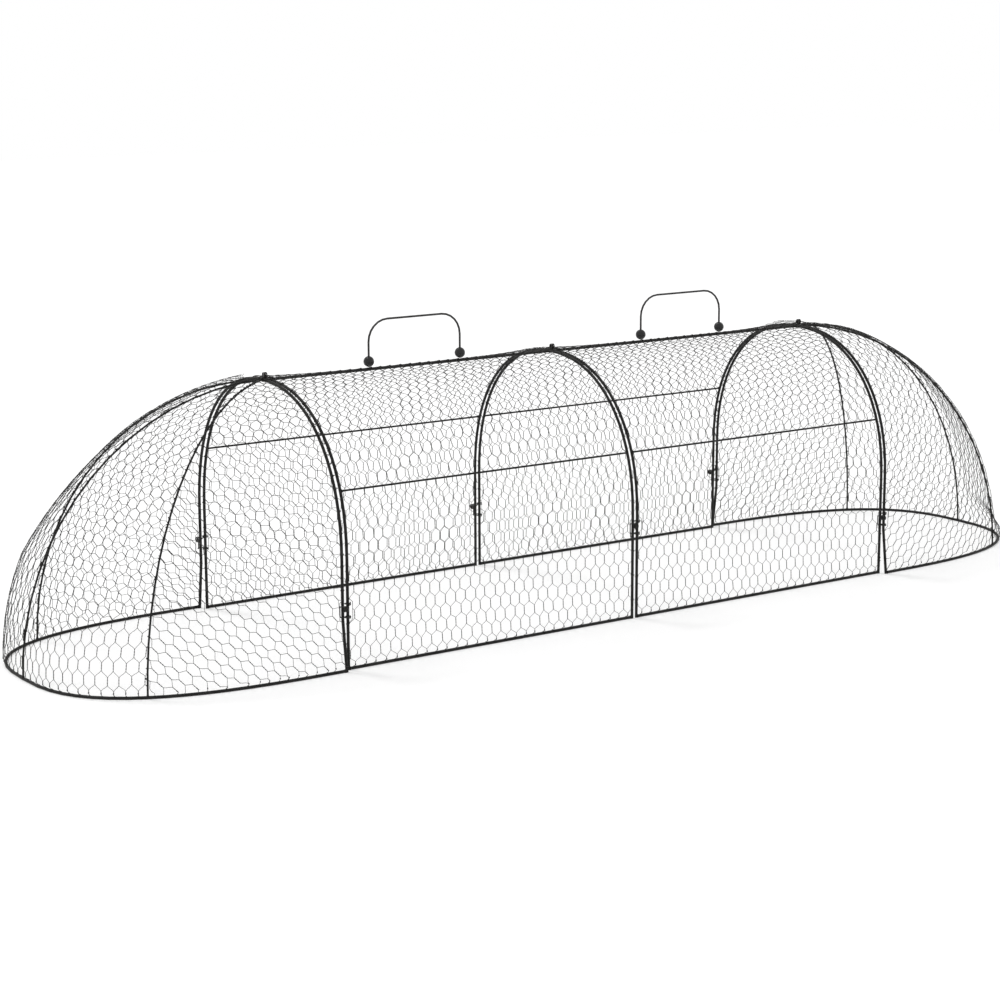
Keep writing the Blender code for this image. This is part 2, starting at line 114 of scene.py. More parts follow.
# The wires' ends: turns round a rod, hooks over a base rod (angles in degrees from straight up),
# tails wound back, and the wires that lead round a latch. What they advance by and how thick or
# wide they are is in wire diameters, and the shortest stub is in steps of its wire.
SHORTEST_STUB = 0.7
WRAP_ADVANCE = 1.15
WRAP_SETTLE = 2
HOOK_START = 38
HOOK_SWEEP = 166
HOOK_RISE = 0.0012
HOOK_SETTLE = 3
HOOK_ADVANCE = 1.6
NUB_REACH = 0.9
NUB_WIDTH = 1.25
BYPASS_OVERRUN = 0.002
BYPASS_RADIUS = 0.7

# The welds: rings at shares of the length, how hollow and uneven the fillet is, and where it
# starts, as a share of the arch rod's radius
WELD_RINGS = (0.0, 0.25, 0.6, 1.0)
WELD_HOLLOW = 1.6
WELD_UNEVENNESS = 0.08
WELD_START = 0.75
WELD_GAP = 0.00005
RIB_WELD_SINK = 0.0006
WELD_SEED = 3

# The coats' blotches and grain
BLOTCH_EDGES = (0.35, 0.65)
GRAIN_DEPTH = 0.0002

# The studio. The key light shines down, and from the far left towards the camera's side
SUN_HEADING = (0.25, -0.55, -1.0)
FLOOR_HALF = 12.0
SENSOR_WIDTH = 36.0
CAMERA_CLIP = (0.05, 100.0)

# How finely the shapes are drawn
WIRE_SIDES = 3
TWIST_STEPS = 6
STRAND_STEPS = 3
WRAP_STEPS = 9
HOOK_STEPS = 7
NUB_STEPS = 12
BYPASS_STEPS = 18
WELD_SIDES = 12
LEG_STEPS = 20
SHEET_ROWS = 160
MIDDLE_COLUMNS = 25
GORE_COLUMNS = 61

# A three-sided tube looks as wide as round wire, averaged over its turns, when its corners stand
# this share of the wire's diameter from its middle
CORNER_REACH = 0.6

# The numbers of a sheet's edges; the upper edge comes after the lower
LEFT, RIGHT, LOWER = range(3)

# Further across than any sheet reaches, so that a place there lands on the sheet's edge
WELL_OUTSIDE = 10.0

# Small steps that keep directions from being zero, and that measure them
TINY = 1e-12
NUDGE = 1e-6
AXIS_STEP = 0.001

# Which way each side's dome points along the tunnel, and the junctions of its middle section
OUTWARD = {"left": -1, "right": 1}
JUNCTIONS = {"left": ("left", "centre"), "right": ("centre", "right")}


# Curves of the frame

def signed_power(value, exponent):
    """A power that keeps the value's sign."""
    return math.copysign(abs(value) ** exponent, value)


def arch_half_width(height, offset, spread):
    """Half the arch's width at a height, with the outline moved outwards by offset."""
    if height < SPREAD_HEIGHT:
        return HALF_WIDTH + offset + spread * (1 - height / SPREAD_HEIGHT)
    if height <= LEG_HEIGHT:
        return HALF_WIDTH + offset
    climb = min((height - LEG_HEIGHT) / (ARCH_HEIGHT + offset - LEG_HEIGHT), 1.0)
    return (HALF_WIDTH + offset) * (1 - climb ** ARCH_FULLNESS) ** (1 / ARCH_FULLNESS)


def arch_outline(offset):
    """The (y, z) points of an arch from its near foot over the top to its far foot."""
    half = HALF_WIDTH + offset
    rise = ARCH_HEIGHT + offset - LEG_HEIGHT
    legs = [(-half, LEG_HEIGHT * step / LEG_STEPS) for step in range(LEG_STEPS)]
    curve = []
    for step in range(SHEET_ROWS + 1):
        angle = math.pi * step / SHEET_ROWS
        y = -half * signed_power(math.cos(angle), 2 / ARCH_FULLNESS)
        curve.append((y, LEG_HEIGHT + rise * math.sin(angle) ** (2 / ARCH_FULLNESS)))
    return legs + curve + [(-y, z) for y, z in reversed(legs)]


def plan_point(turn, offset):
    """Depth and width of the dome's base outline, turn running from far foot to near foot."""
    depth = (DOME_DEPTH + offset) * math.sin(turn) ** (2 / DOME_FULLNESS)
    width = HALF_WIDTH + DOME_SPREAD + offset
    return depth, width * signed_power(math.cos(turn), 2 / DOME_FULLNESS)


def rib_turn():
    """The turn at which a side rib stands on the base outline."""
    slope = math.tan(RIB_ANGLE) * DOME_DEPTH / (HALF_WIDTH + DOME_SPREAD)
    return math.atan(slope ** (-DOME_FULLNESS / 2))


def dome_point(turn, climb, offset):
    """Depth, y and z of a point on the dome, climb running from ground to top."""
    depth, y = plan_point(turn, offset)
    z = (ARCH_HEIGHT + offset) * math.sin(climb)
    rib_depth, _ = plan_point(rib_turn(), offset)
    arch_share = max(0.0, 1 - depth / rib_depth)
    arch_foot = HALF_WIDTH + DOME_SPREAD + offset
    on_rib = math.cos(climb)
    on_arch = arch_half_width(max(z - BASE_ROD_TOP, 0.0), offset, DOME_SPREAD) / arch_foot
    reach = on_rib * (1 - arch_share) + on_arch * arch_share
    return depth * reach, y * reach, z


def netting_point(turn, climb, offset, taut_heights):
    """A point of the dome, pulled in towards the straight line between its two ribs."""
    spot = Vector(dome_point(turn, climb, offset))
    gore = math.pi / 2 - rib_turn()
    share = abs(turn - math.pi / 2) / gore
    if share > 1:
        return spot
    rib = math.pi / 2 + math.copysign(gore, turn - math.pi / 2)
    centre = Vector(dome_point(math.pi / 2, climb, offset))
    straight = centre.lerp(Vector(dome_point(rib, climb, offset)), share)
    low, high = taut_heights
    pull = NET_TAUT * min(max((spot.z - low) / (high - low), 0.0), 1.0)
    return spot.lerp(straight, pull * (1 - abs(2 * share - 1) ** TAUT_FLATNESS))


def arch_x(node):
    """Where an arch stands along the tunnel."""
    low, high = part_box(node)
    return (low.x + high.x) / 2


# Materials

def node_adder(tree):
    """A shorthand that adds a node to a tree, with its values and the links into it."""
    def add(kind, links=(), **values):
        node = tree.nodes.new(kind)
        for key, value in values.items():
            if key in node.inputs:
                node.inputs[key].default_value = value
            else:
                setattr(node, key, value)
        for socket, source in links:
            tree.links.new(source, node.inputs[socket])
        return node

    return add


def material_nodes(name):
    """A new material, its node tree and its principled shader."""
    material = bpy.data.materials.new(name)
    material.use_nodes = True
    tree = material.node_tree
    return material, tree, tree.nodes["Principled BSDF"]


def coated_wire(name, dark, light, mottle, grain, roughness, specular, bump):
    """Coated rod or wire: blotches of two tones, fine grain in its gloss and in its surface."""
    material, tree, shader = material_nodes(name)
    add = node_adder(tree)
    place = add("ShaderNodeTexCoord").outputs["Object"]
    blotch = add("ShaderNodeTexNoise", [("Vector", place)], Scale=mottle, Detail=4.0)
    tone = add("ShaderNodeMapRange", [("Value", blotch.outputs["Fac"])])
    tone.inputs["From Min"].default_value = BLOTCH_EDGES[0]
    tone.inputs["From Max"].default_value = BLOTCH_EDGES[1]
    colour = add("ShaderNodeMix", [("Factor", tone.outputs["Result"])], data_type="RGBA")
    colour.inputs["A"].default_value = (*dark, 1.0)
    colour.inputs["B"].default_value = (*light, 1.0)
    tree.links.new(colour.outputs["Result"], shader.inputs["Base Color"])
    fine = add("ShaderNodeTexNoise", [("Vector", place)], Scale=grain, Detail=3.0)
    gloss = add("ShaderNodeMapRange", [("Value", fine.outputs["Fac"])])
    gloss.inputs["To Min"].default_value = roughness[0]
    gloss.inputs["To Max"].default_value = roughness[1]
    tree.links.new(gloss.outputs["Result"], shader.inputs["Roughness"])
    relief = add("ShaderNodeBump", [("Height", fine.outputs["Fac"])])
    relief.inputs["Strength"].default_value = bump
    relief.inputs["Distance"].default_value = GRAIN_DEPTH
    tree.links.new(relief.outputs["Normal"], shader.inputs["Normal"])
    shader.inputs["Specular IOR Level"].default_value = specular
    return material


# Meshes

def tube_faces(strands, rings, sides):
    """Faces of many equal tubes, each ring after ring, with closed ends."""
    faces = []
    around = np.arange(sides)
    after = (around + 1) % sides
    ring = np.arange(rings - 1)[:, None] * sides
    quads = np.stack([ring + around, ring + after, ring + sides + after, ring + sides + around], 2)
    quads = quads.reshape(-1, 4)
    first = around[::-1]
    last = (rings - 1) * sides + around
    for strand in range(strands):
        shift = strand * rings * sides
        faces += (quads + shift).tolist()
        faces += [(first + shift).tolist(), (last + shift).tolist()]
    return faces


def tube_corners(paths, facings, radius, sides):
    """Corners of tubes along paths, an array of (strand, point, xyz)."""
    ahead = np.gradient(paths, axis=1)
    ahead /= np.linalg.norm(ahead, axis=2, keepdims=True) + TINY
    up = facings - ahead * np.sum(facings * ahead, axis=2, keepdims=True)
    up /= np.linalg.norm(up, axis=2, keepdims=True) + TINY
    side = np.cross(ahead, up)
    angles = 2 * math.pi * np.arange(sides) / sides
    ring = up[:, :, None] * np.cos(angles)[:, None] + side[:, :, None] * np.sin(angles)[:, None]
    return (paths[:, :, None] + radius * ring).reshape(-1, 3)


class WireWork:
    """Collects tubes and makes them into one mesh."""

    def __init__(self, wire):
        self.radius = CORNER_REACH * wire
        self.corners = []
        self.faces = []
        self.count = 0

    def add(self, paths, facings, radius=None):
        """Add tubes along paths of equal length, each turned by its own facings."""
        if not len(paths):
            return
        strands, rings = paths.shape[:2]
        corners = tube_corners(paths, facings, radius or self.radius, WIRE_SIDES)
        faces = tube_faces(strands, rings, WIRE_SIDES)
        self.faces += [[corner + self.count for corner in face] for face in faces]
        self.corners.append(corners)
        self.count += len(corners)

    def piece(self, name, material):
        """The tubes so far, as one piece of the scene."""
        mesh = bpy.data.meshes.new(name)
        mesh.from_pydata(np.concatenate(self.corners).tolist(), [], self.faces)
        mesh.shade_smooth()
        mesh.materials.append(material)
        return link_piece(name, mesh)


def link_piece(name, mesh):
    """An object for a mesh, linked to the scene."""
    piece = bpy.data.objects.new(name, mesh)
    bpy.context.scene.collection.objects.link(piece)
    return piece


# Netting

class Sheet:
    """A curved sheet of netting, measured by its length up the middle and its width across."""

    def __init__(self, rows, flip):
        rows = np.array(rows)
        count, columns = rows.shape[:2]
        steps = np.linalg.norm(np.diff(rows, axis=1), axis=2)
        run = np.concatenate([np.zeros((count, 1)), np.cumsum(steps, axis=1)], axis=1)
        self.width = run[:, -1]
        shares = np.linspace(0, 1, columns)
        even = np.empty_like(rows)
        for row in range(count):
            for axis in range(3):
                even[row, :, axis] = np.interp(
                    shares * self.width[row], run[row], rows[row, :, axis]
                )
        self.points = even
        middle = even[:, columns // 2]
        climb = np.linalg.norm(np.diff(middle, axis=0), axis=1)
        self.length = np.concatenate([[0], np.cumsum(climb)])
        normals = np.cross(np.gradient(even, axis=1), np.gradient(even, axis=0)) * flip
        self.normals = normals / (np.linalg.norm(normals, axis=2, keepdims=True) + TINY)
        self.heights = middle[:, 2]
        # Where the netting starts and ends along the sheet, and whether a base rod is there
        self.span = [NET_FOOT, self.length[-1]]
        self.on_base = (True, False)
        # Beside the left and the right edge: the reaches of its latches, and its rod's radius
        # and depth under the netting
        self.latches = [[], []]
        self.rods = [(FRAME_ROD_RADIUS, NET_LIFT)] * 2
        # Where other rods are welded to those
        self.joints = []

    def at_height(self, height):
        """How far along the sheet its middle reaches a height."""
        return float(np.interp(height, self.heights, self.length))

    def half_width(self, along):
        """Half of the sheet's width across, some way along it."""
        return np.interp(along, self.length, self.width) / 2

    def place(self, across, along, lift=0.0):
        """Points on the sheet and the way it faces there."""
        row = np.interp(along, self.length, np.arange(len(self.length)))
        share = np.clip(across / (2 * self.half_width(along)) + 0.5, 0, 1)
        column = share * (self.points.shape[1] - 1)
        r = np.minimum(row.astype(int), self.points.shape[0] - 2)
        c = np.minimum(column.astype(int), self.points.shape[1] - 2)
        fr, fc = (row - r)[..., None], (column - c)[..., None]

        def mixed(grid):
            low = grid[r, c] * (1 - fc) + grid[r, c + 1] * fc
            high = grid[r + 1, c] * (1 - fc) + grid[r + 1, c + 1] * fc
            return low * (1 - fr) + high * fr

        facing = mixed(self.normals)
        facing /= np.linalg.norm(facing, axis=-1, keepdims=True)
        return mixed(self.points) + facing * np.asarray(lift)[..., None], facing

    def inset(self, side, along):
        """How far the netting stays from an edge's rod, to leave room for the latches."""
        room = np.zeros_like(along)
        for low, high in self.latches[side]:
            ease = 1 + np.minimum(along - low, high - along) / LATCH_EASE
            room = np.maximum(room, LATCH_CLEARANCE * np.clip(ease, 0, 1))
        return room

    def depth(self, across, along):
        """Distances inside the left, right, lower and upper edges."""
        half = self.half_width(along)
        left = half + across - self.inset(LEFT, along)
        right = half - across - self.inset(RIGHT, along)
        return np.stack([left, right, along - self.span[0], self.span[1] - along]) - EDGE_MARGIN

    def at_base(self, edges):
        """Which of the cut ends, given the edge of each, lie at a base rod."""
        return np.array([edge >= LOWER and self.on_base[int(edge) - LOWER] for edge in edges])


def latch_span(name, axis):
    """How far a latch reaches down and up its rod, or to either side of the ridge."""
    low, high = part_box(name)
    return low[axis] - LATCH_MARGIN, high[axis] + LATCH_MARGIN


def middle_sheet(left_x, right_x, junctions, slack):
    """The sheet over a middle section, pulled in between the rods that hold it up."""
    outline = [Vector(spot) for spot in arch_outline(NET_LIFT)]
    lengths = [0.0]
    for low, high in zip(outline, outline[1:]):
        lengths.append(lengths[-1] + (high - low).length)
    total = lengths[-1]
    half = outline[:len(outline) // 2]
    side_rod = float(np.interp(SIDE_ROD_HEIGHT, [spot.y for spot in half], lengths[:len(half)]))
    held = [0.0, side_rod, total / 2, total - side_rod, total]
    rows = []
    for index, spot in enumerate(outline):
        before, after = outline[max(index - 1, 0)], outline[min(index + 1, len(outline) - 1)]
        inward = Vector((after.y - before.y, before.x - after.x)).normalized()
        low = max(place for place in held if place <= lengths[index])
        high = min([place for place in held if place > lengths[index]], default=total + 1)
        share = (lengths[index] - low) / (high - low)
        if low == total / 2:
            share **= RIDGE_SAG_SKEW
        elif high == total / 2:
            share = 1 - (1 - share) ** RIDGE_SAG_SKEW
        pull = slack * math.sin(math.pi * share)
        row = []
        for column in range(MIDDLE_COLUMNS):
            across = column / (MIDDLE_COLUMNS - 1)
            y, z = spot + inward * pull * (1 - abs(2 * across - 1) ** SAG_FLATNESS)
            row.append((left_x + (right_x - left_x) * across, y, z))
        rows.append(row)
    sheet = Sheet(rows, 1)

    def on_sheet(places):
        return np.interp(places, lengths, sheet.length).tolist()

    sheet.span = on_sheet([NET_FOOT, total - NET_FOOT])
    sheet.on_base = (True, True)
    sheet.latches = []
    for junction in junctions:
        near = latch_span(junction + "_near_latch", 2)
        top = [total / 2 + y for y in latch_span(junction + "_top_latch", 1)]
        far = [total - z for z in reversed(latch_span(junction + "_far_latch", 2))]
        sheet.latches.append([on_sheet(span) for span in (near, top, far)])
    sheet.joints = on_sheet(held)
    return sheet


def gore_sheet(arch_place, outward, first_turn, last_turn, top, taut_heights):
    """The sheet over the part of a dome between two turns, up to a climb of top."""
    rows = []
    lowest = math.asin(GORE_FOOT / ARCH_HEIGHT)
    for step in range(SHEET_ROWS + 1):
        climb = lowest + (top - lowest) * step / SHEET_ROWS
        row = []
        for column in range(GORE_COLUMNS):
            turn = first_turn + (last_turn - first_turn) * column / (GORE_COLUMNS - 1)
            depth, y, z = netting_point(turn, climb, NET_LIFT, taut_heights)
            row.append((arch_place + outward * depth, y, z))
        rows.append(row)
    return Sheet(rows, -outward)


def strand_paths(sheet, sizes, cell_width, pitch, lean, rng):
    """Every wire of a hexagonal netting over a sheet, in sheet measures.

    Each wire shares one twist with its neighbour and then crosses to the next twist along.
    """
    reach = sheet.width.max() / 2 + sheet.length[-1]
    rows = np.arange(math.floor(-reach / pitch), math.ceil(reach / pitch) + 1)
    columns = np.arange(math.floor(-reach / cell_width), math.ceil(reach / cell_width) + 1)
    row, column = np.meshgrid(rows, columns, indexing="ij")
    shift = (row % 2) * 0.5
    centre = (column + shift) * cell_width
    foot = FIRST_TWIST_TOP - sizes.twist_length + row * pitch
    loose = sizes.looseness
    stray = TWIST_END_STRAY
    drift = rng.uniform(-loose, loose, (2,) + row.shape)
    lower = np.stack([centre, foot]) + drift + rng.uniform(-stray, stray, drift.shape) * loose
    upper = np.stack([centre, foot + sizes.twist_length]) + drift
    upper = upper + rng.uniform(-stray, stray, drift.shape) * loose
    gap = sizes.wire * TWIST_LOOSENESS
    steps = np.linspace(0, 1, TWIST_STEPS + 1)
    angles = 2 * math.pi * sizes.twist_turns * steps
    inner = slice(1, -1)
    wires = []
    for hand in (-1, 1):
        swing = hand * gap * np.cos(angles)
        raised = hand * gap * np.sin(angles)
        twist = lower[:, :-1, inner, None] * (1 - steps) + upper[:, :-1, inner, None] * steps
        twist = twist + np.stack([swing, np.zeros_like(swing)])[:, None, None]
        leaving = 1 if swing[-1] > 0 else -1
        odd = row[:-1, inner] % 2
        target_column = np.arange(1, len(columns) - 1)[None] + np.where(
            odd == 1, (leaving + 1) // 2, (leaving - 1) // 2
        )
        target_row = np.arange(1, len(rows))[:, None] + 0 * target_column
        target = lower[:, target_row, np.clip(target_column, 0, len(columns) - 1)]
        target = target - np.array([leaving * gap, 0.0])[:, None, None]
        start = twist[..., -1]
        share = np.arange(1, STRAND_STEPS + 1) / STRAND_STEPS
        eased = CROSSING_STRAIGHT * share + CROSSING_EASED * share * share * (3 - 2 * share)
        crossing = np.stack([
            start[0][..., None] + (target[0] - start[0])[..., None] * eased,
            start[1][..., None] + (target[1] - start[1])[..., None] * share,
        ])
        flat = np.concatenate([twist, crossing], axis=-1)
        lift = np.concatenate([raised, np.zeros(STRAND_STEPS)])
        lift = np.broadcast_to(lift, flat.shape[1:])
        wire = np.concatenate([flat, lift[None]], axis=0)
        wires.append(wire.reshape(3, -1, wire.shape[-1]))
    wires = np.concatenate(wires, axis=1)
    across = wires[0] * math.cos(lean) + wires[1] * math.sin(lean)
    along = wires[1] * math.cos(lean) - wires[0] * math.sin(lean)
    return np.stack([across, along, wires[2]], axis=-1)


def trimmed(sheet, wires):
    """The wires inside a sheet's edges, the place and edge of each cut end, and the cut wires."""
    depths = sheet.depth(wires[..., 0], wires[..., 1])
    inside = depths.min(axis=0)
    keep_start, keep_end = inside[:, 0] > 0, inside[:, -1] > 0
    whole = wires[keep_start & keep_end]
    parts, ends = [], []
    for kept, order in ((keep_start & ~keep_end, 1), (~keep_start & keep_end, -1)):
        some = wires[kept][:, ::order]
        if not len(some):
            continue
        within = inside[kept][:, ::order]
        edge_depths = depths[:, kept][:, :, ::order]
        out = np.argmax(within <= 0, axis=1)
        index = np.arange(len(some))
        before, after = within[index, out - 1], within[index, out]
        stop = out - 1 + before / (before - after)
        edge = np.argmin(edge_depths[:, index, out], axis=0)
        long_enough = stop > SHORTEST_STUB
        some, stop, edge = some[long_enough], stop[long_enough], edge[long_enough]
        spots = np.linspace(0, 1, wires.shape[1])[None] * stop[:, None]
        low = np.minimum(spots.astype(int), wires.shape[1] - 2)
        share = (spots - low)[..., None]
        rows = np.arange(len(some))[:, None]
        part = some[rows, low] * (1 - share) + some[rows, low + 1] * share
        parts.append(part)
        ends.append(np.column_stack([part[:, -1, 0], part[:, -1, 1], edge]))
    return np.concatenate([whole] + parts), np.concatenate(ends), np.concatenate(parts)


def wraps_on_rods(sheet, ends, sizes, rng):
    """Turns of wire round the rod at a sheet's side, one for each cut end."""
    paths, facings = [], []
    for side in (LEFT, RIGHT):
        radius, sink = sheet.rods[side]
        own = ends[ends[:, 2] == side]
        along = own[:, 1]
        clear = sheet.inset(side, along) < NUDGE
        for joint in sheet.joints:
            clear &= np.abs(along - joint) > JOINT_CLEARANCE
        own, along = own[clear], along[clear]
        if not len(own):
            continue
        edge = np.full(len(own), -WELL_OUTSIDE if side == LEFT else WELL_OUTSIDE)
        here, facing = sheet.place(edge, along)
        ahead, _ = sheet.place(edge, along + AXIS_STEP)
        behind, _ = sheet.place(edge, along - AXIS_STEP)
        axis = ahead - behind
        axis /= np.linalg.norm(axis, axis=1, keepdims=True)
        centre = here - facing * sink
        inward = sheet.place(0.0 * along, along)[0] - here
        inward -= axis * np.sum(inward * axis, axis=1, keepdims=True)
        inward -= facing * np.sum(inward * facing, axis=1, keepdims=True)
        inward /= np.linalg.norm(inward, axis=1, keepdims=True)
        start, _ = sheet.place(own[:, 0], own[:, 1])
        hand = np.where(rng.random(len(own)) < 0.5, -1.0, 1.0)
        path = [start]
        close = radius + sizes.wire / 2 + WRAP_GAP
        for step in range(1, WRAP_STEPS + 1):
            angle = 2 * math.pi * sizes.wrap_turns * step / WRAP_STEPS
            reach = close + (sink - close) * max(0.0, 1 - step / WRAP_SETTLE)
            slide = sizes.wire * WRAP_ADVANCE * sizes.wrap_turns * step / WRAP_STEPS
            path.append(
                centre
                + reach * (facing * math.cos(angle) - inward * math.sin(angle))
                + axis * (hand * slide)[:, None]
            )
        paths.append(np.stack(path, axis=1))
        facings.append(np.repeat(axis[:, None], WRAP_STEPS + 1, axis=1))
    if not paths:
        return np.zeros((0, 2, 3)), np.zeros((0, 2, 3))
    return np.concatenate(paths), np.concatenate(facings)


def hooks_on_base(sheet, ends, sizes, rng):
    """Wire ends bent over a base rod and down behind it, clear of the ground."""
    own = ends[sheet.at_base(ends[:, 2])]
    start, facing = sheet.place(own[:, 0], own[:, 1])
    out = facing.copy()
    out[:, 2] = 0.0
    out /= np.linalg.norm(out, axis=1, keepdims=True)
    centre = start - out * NET_LIFT
    centre[:, 2] = BASE_ROD_Z
    up = np.zeros_like(out)
    up[:, 2] = 1.0
    axis = np.cross(out, up)
    hand = np.where(rng.random(len(own)) < 0.5, -1.0, 1.0)
    close = FRAME_ROD_RADIUS + sizes.wire / 2 + WRAP_GAP
    path = [start]
    for step in range(1, HOOK_STEPS + 1):
        share = step / HOOK_STEPS
        angle = math.radians(HOOK_START - HOOK_SWEEP * share)
        reach = close + HOOK_RISE * max(0.0, 1 - HOOK_SETTLE * share)
        path.append(
            centre
            + reach * (out * math.sin(angle) + up * math.cos(angle))
            + axis * (hand * sizes.wire * HOOK_ADVANCE * share)[:, None]
        )
    return np.stack(path, axis=1), np.repeat(axis[:, None], HOOK_STEPS + 1, axis=1)


def nubs_on_twists(sheet, ends, parts, sizes):
    """The tail of every other wire wound back round its own twist, above the base rod."""
    own = parts[sheet.at_base(ends[:, 2])][::2]
    back = own[:, -3] - own[:, -1]
    path = []
    for step in range(NUB_STEPS + 1):
        share = step / NUB_STEPS
        angle = 2 * math.pi * sizes.nub_turns * share
        spot = own[:, -1] + back * share * NUB_REACH
        spot[:, 0] += sizes.wire * NUB_WIDTH * math.cos(angle)
        spot[:, 2] = sizes.wire * math.sin(angle)
        path.append(spot)
    flat = np.stack(path, axis=1)
    across, along = flat[..., 0], flat[..., 1]
    points, facing = sheet.place(across, along, flat[..., 2])
    above, _ = sheet.place(across + back[:, None, 0], along + back[:, None, 1])
    here, _ = sheet.place(across, along)
    return points, above - here + NUDGE * facing


def latch_bypasses(sheet):
    """Edge wires that lead round each latch, from rod to rod."""
    paths, facings = [], []
    for side, hand in ((LEFT, -1), (RIGHT, 1)):
        for low, high in sheet.latches[side]:
            start = max(low - LATCH_EASE - BYPASS_OVERRUN, sheet.span[0])
            end = min(high + LATCH_EASE + BYPASS_OVERRUN, sheet.span[1])
            along = np.linspace(start, end, BYPASS_STEPS)
            inset = sheet.inset(side, along) + EDGE_MARGIN
            across = hand * (sheet.half_width(along) - inset)
            points, facing = sheet.place(across, along)
            paths.append(points)
            facings.append(facing)
    return np.array(paths), np.array(facings)


def knit(work, sheet, sizes, cell_width, pitch, lean, rng):
    """Add one sheet's netting to the wire work."""
    wires = strand_paths(sheet, sizes, cell_width, pitch, lean, rng)
    kept, ends, parts = trimmed(sheet, wires)
    work.add(*sheet.place(kept[..., 0], kept[..., 1], kept[..., 2]))
    work.add(*wraps_on_rods(sheet, ends, sizes, rng))
    work.add(*hooks_on_base(sheet, ends, sizes, rng))
    work.add(*nubs_on_twists(sheet, ends, parts, sizes))
    work.add(*latch_bypasses(sheet), sizes.wire * BYPASS_RADIUS)


# Settings

def length_property(name, description, default):
    """A setting in metres."""
    return FloatProperty(
        name=name, description=description, default=default, min=0.0, unit="LENGTH", precision=5
    )


def colour_property(name, description, default):
    """A colour setting."""
    return FloatVectorProperty(
        name=name, description=description, default=default, min=0.0, max=1.0, subtype="COLOR"
    )


class TunnelNettingSettings(PropertyGroup):
    """How the netting is twisted and laid"""

    wire: length_property("Wire", "Diameter of the netting's wire", 0.00072)
    slack: length_property("Slack", "How far the netting is pulled in between rods", 0.007)
    cell_width: length_property("Cell width", "Width of a cell between its twists", 0.01893)
    row_pitch: length_property("Row pitch", "Distance from row to row, about", 0.0205)
    twist_length: length_property("Twist", "Length of the twisted part", 0.0135)
    looseness: length_property("Looseness", "How far a twist may stray from its place", 0.0011)
    front_cell_width: length_property("Front cell", "Cell width on a dome's end", 0.0185)
    side_cell_width: length_property("Side cell", "Cell width on a dome's sides", 0.0160)
    dome_pitch: length_property("Dome pitch", "Distance from row to row on the domes", 0.0214)
    side_lean: FloatProperty(
        name="Side lean", description="Lean of the twists on a dome's sides, towards its end",
        default=math.radians(44), subtype="ANGLE",
    )
    twist_turns: FloatProperty(name="Turns", description="Turns in each twist", default=1.5)
    wrap_turns: FloatProperty(name="Wraps", description="Turns round a rod", default=1.15)
    nub_turns: FloatProperty(name="Nubs", description="Turns of a wire's tail", default=2.0)
    seed: IntProperty(name="Seed", description="Seed of the netting's unevenness", default=7)
    dark: colour_property("Dark", "Darker tone of the wire", (0.020, 0.0195, 0.019))
    light: colour_property("Light", "Lighter tone of the wire", (0.048, 0.047, 0.045))


class TunnelFinishSettings(PropertyGroup):
    """The welds and the tones of the coats"""

    weld_height: length_property("Weld", "How far a weld stands out from its rod", 0.0011)
    weld_length: length_property("Weld length", "How far a weld runs along its rod", 0.0026)
    rod_dark: colour_property("Rod dark", "Darker tone of the rods", (0.012, 0.0116, 0.0112))
    rod_light: colour_property("Rod light", "Lighter tone of the rods", (0.026, 0.0252, 0.0245))
    handle_dark: colour_property("Handle dark", "Darker handle tone", (0.022, 0.0215, 0.021))
    handle_light: colour_property("Handle light", "Lighter handle tone", (0.040, 0.039, 0.038))
    ball_dark: colour_property("Ball dark", "Darker tone of the balls", (0.008, 0.008, 0.008))
    ball_light: colour_property("Ball light", "Lighter tone of the balls", (0.014, 0.014, 0.014))
    latch_dark: colour_property("Latch dark", "Darker latch tone", (0.012, 0.0115, 0.011))
    latch_light: colour_property("Latch light", "Lighter latch tone", (0.024, 0.023, 0.022))


class TunnelStudioSettings(PropertyGroup):
    """The camera, the lamps and the floor"""

    lens: FloatProperty(name="Lens", description="Camera lens in millimetres", default=84.963)
    camera_place: FloatVectorProperty(
        name="Camera", description="Where the camera stands", default=(-2.34777, -3.26926, 0.99695),
        subtype="TRANSLATION",
    )
    yaw: FloatProperty(name="Yaw", description="Camera heading", default=0.60013, subtype="ANGLE")
    pitch: FloatProperty(name="Pitch", description="Camera dip", default=0.20459, subtype="ANGLE")
    roll: FloatProperty(name="Roll", description="Camera roll", default=-0.0033, subtype="ANGLE")
    sun: FloatProperty(name="Sun", description="Strength of the soft key light", default=1.1)
    sun_spread: FloatProperty(
        name="Spread", description="Softness of the key light", default=math.radians(14),
        subtype="ANGLE",
    )
    sky: FloatProperty(name="Sky", description="Strength of the even light", default=0.75)
    floor_tone: FloatProperty(name="Floor", description="Tone of the floor", default=0.80)
    floor_glow: FloatProperty(name="Glow", description="White added for the camera", default=0.27)


SETTINGS = {
    "tunnel_netting": TunnelNettingSettings,
    "tunnel_finish": TunnelFinishSettings,
    "tunnel_studio": TunnelStudioSettings,
}


# Pieces

def net_material(scene):
    """The netting's coat, shared by its four pieces."""
    material = bpy.data.materials.get("netting_wire")
    if material is None:
        sizes = scene.tunnel_netting
        material = coated_wire(
            "netting_wire", sizes.dark, sizes.light,
            mottle=60.0, grain=900.0, roughness=(0.38, 0.58), specular=0.20, bump=0.35,
        )
    return material


def rod_material(scene):
    """The frame's coat, shared by its rods and welds."""
    material = bpy.data.materials.get("coated_rod")
    if material is None:
        tones = scene.tunnel_finish
        material = coated_wire(
            "coated_rod", tones.rod_dark, tones.rod_light,
            mottle=45.0, grain=700.0, roughness=(0.38, 0.58), specular=0.12, bump=0.30,
        )
    return material


def finish_net(work, body, scene):
    """Put a body's netting in place of its plain grid."""
    piece = work.piece(body + "_net_wire", net_material(scene))
    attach(piece, body)
    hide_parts(body + "_netting")


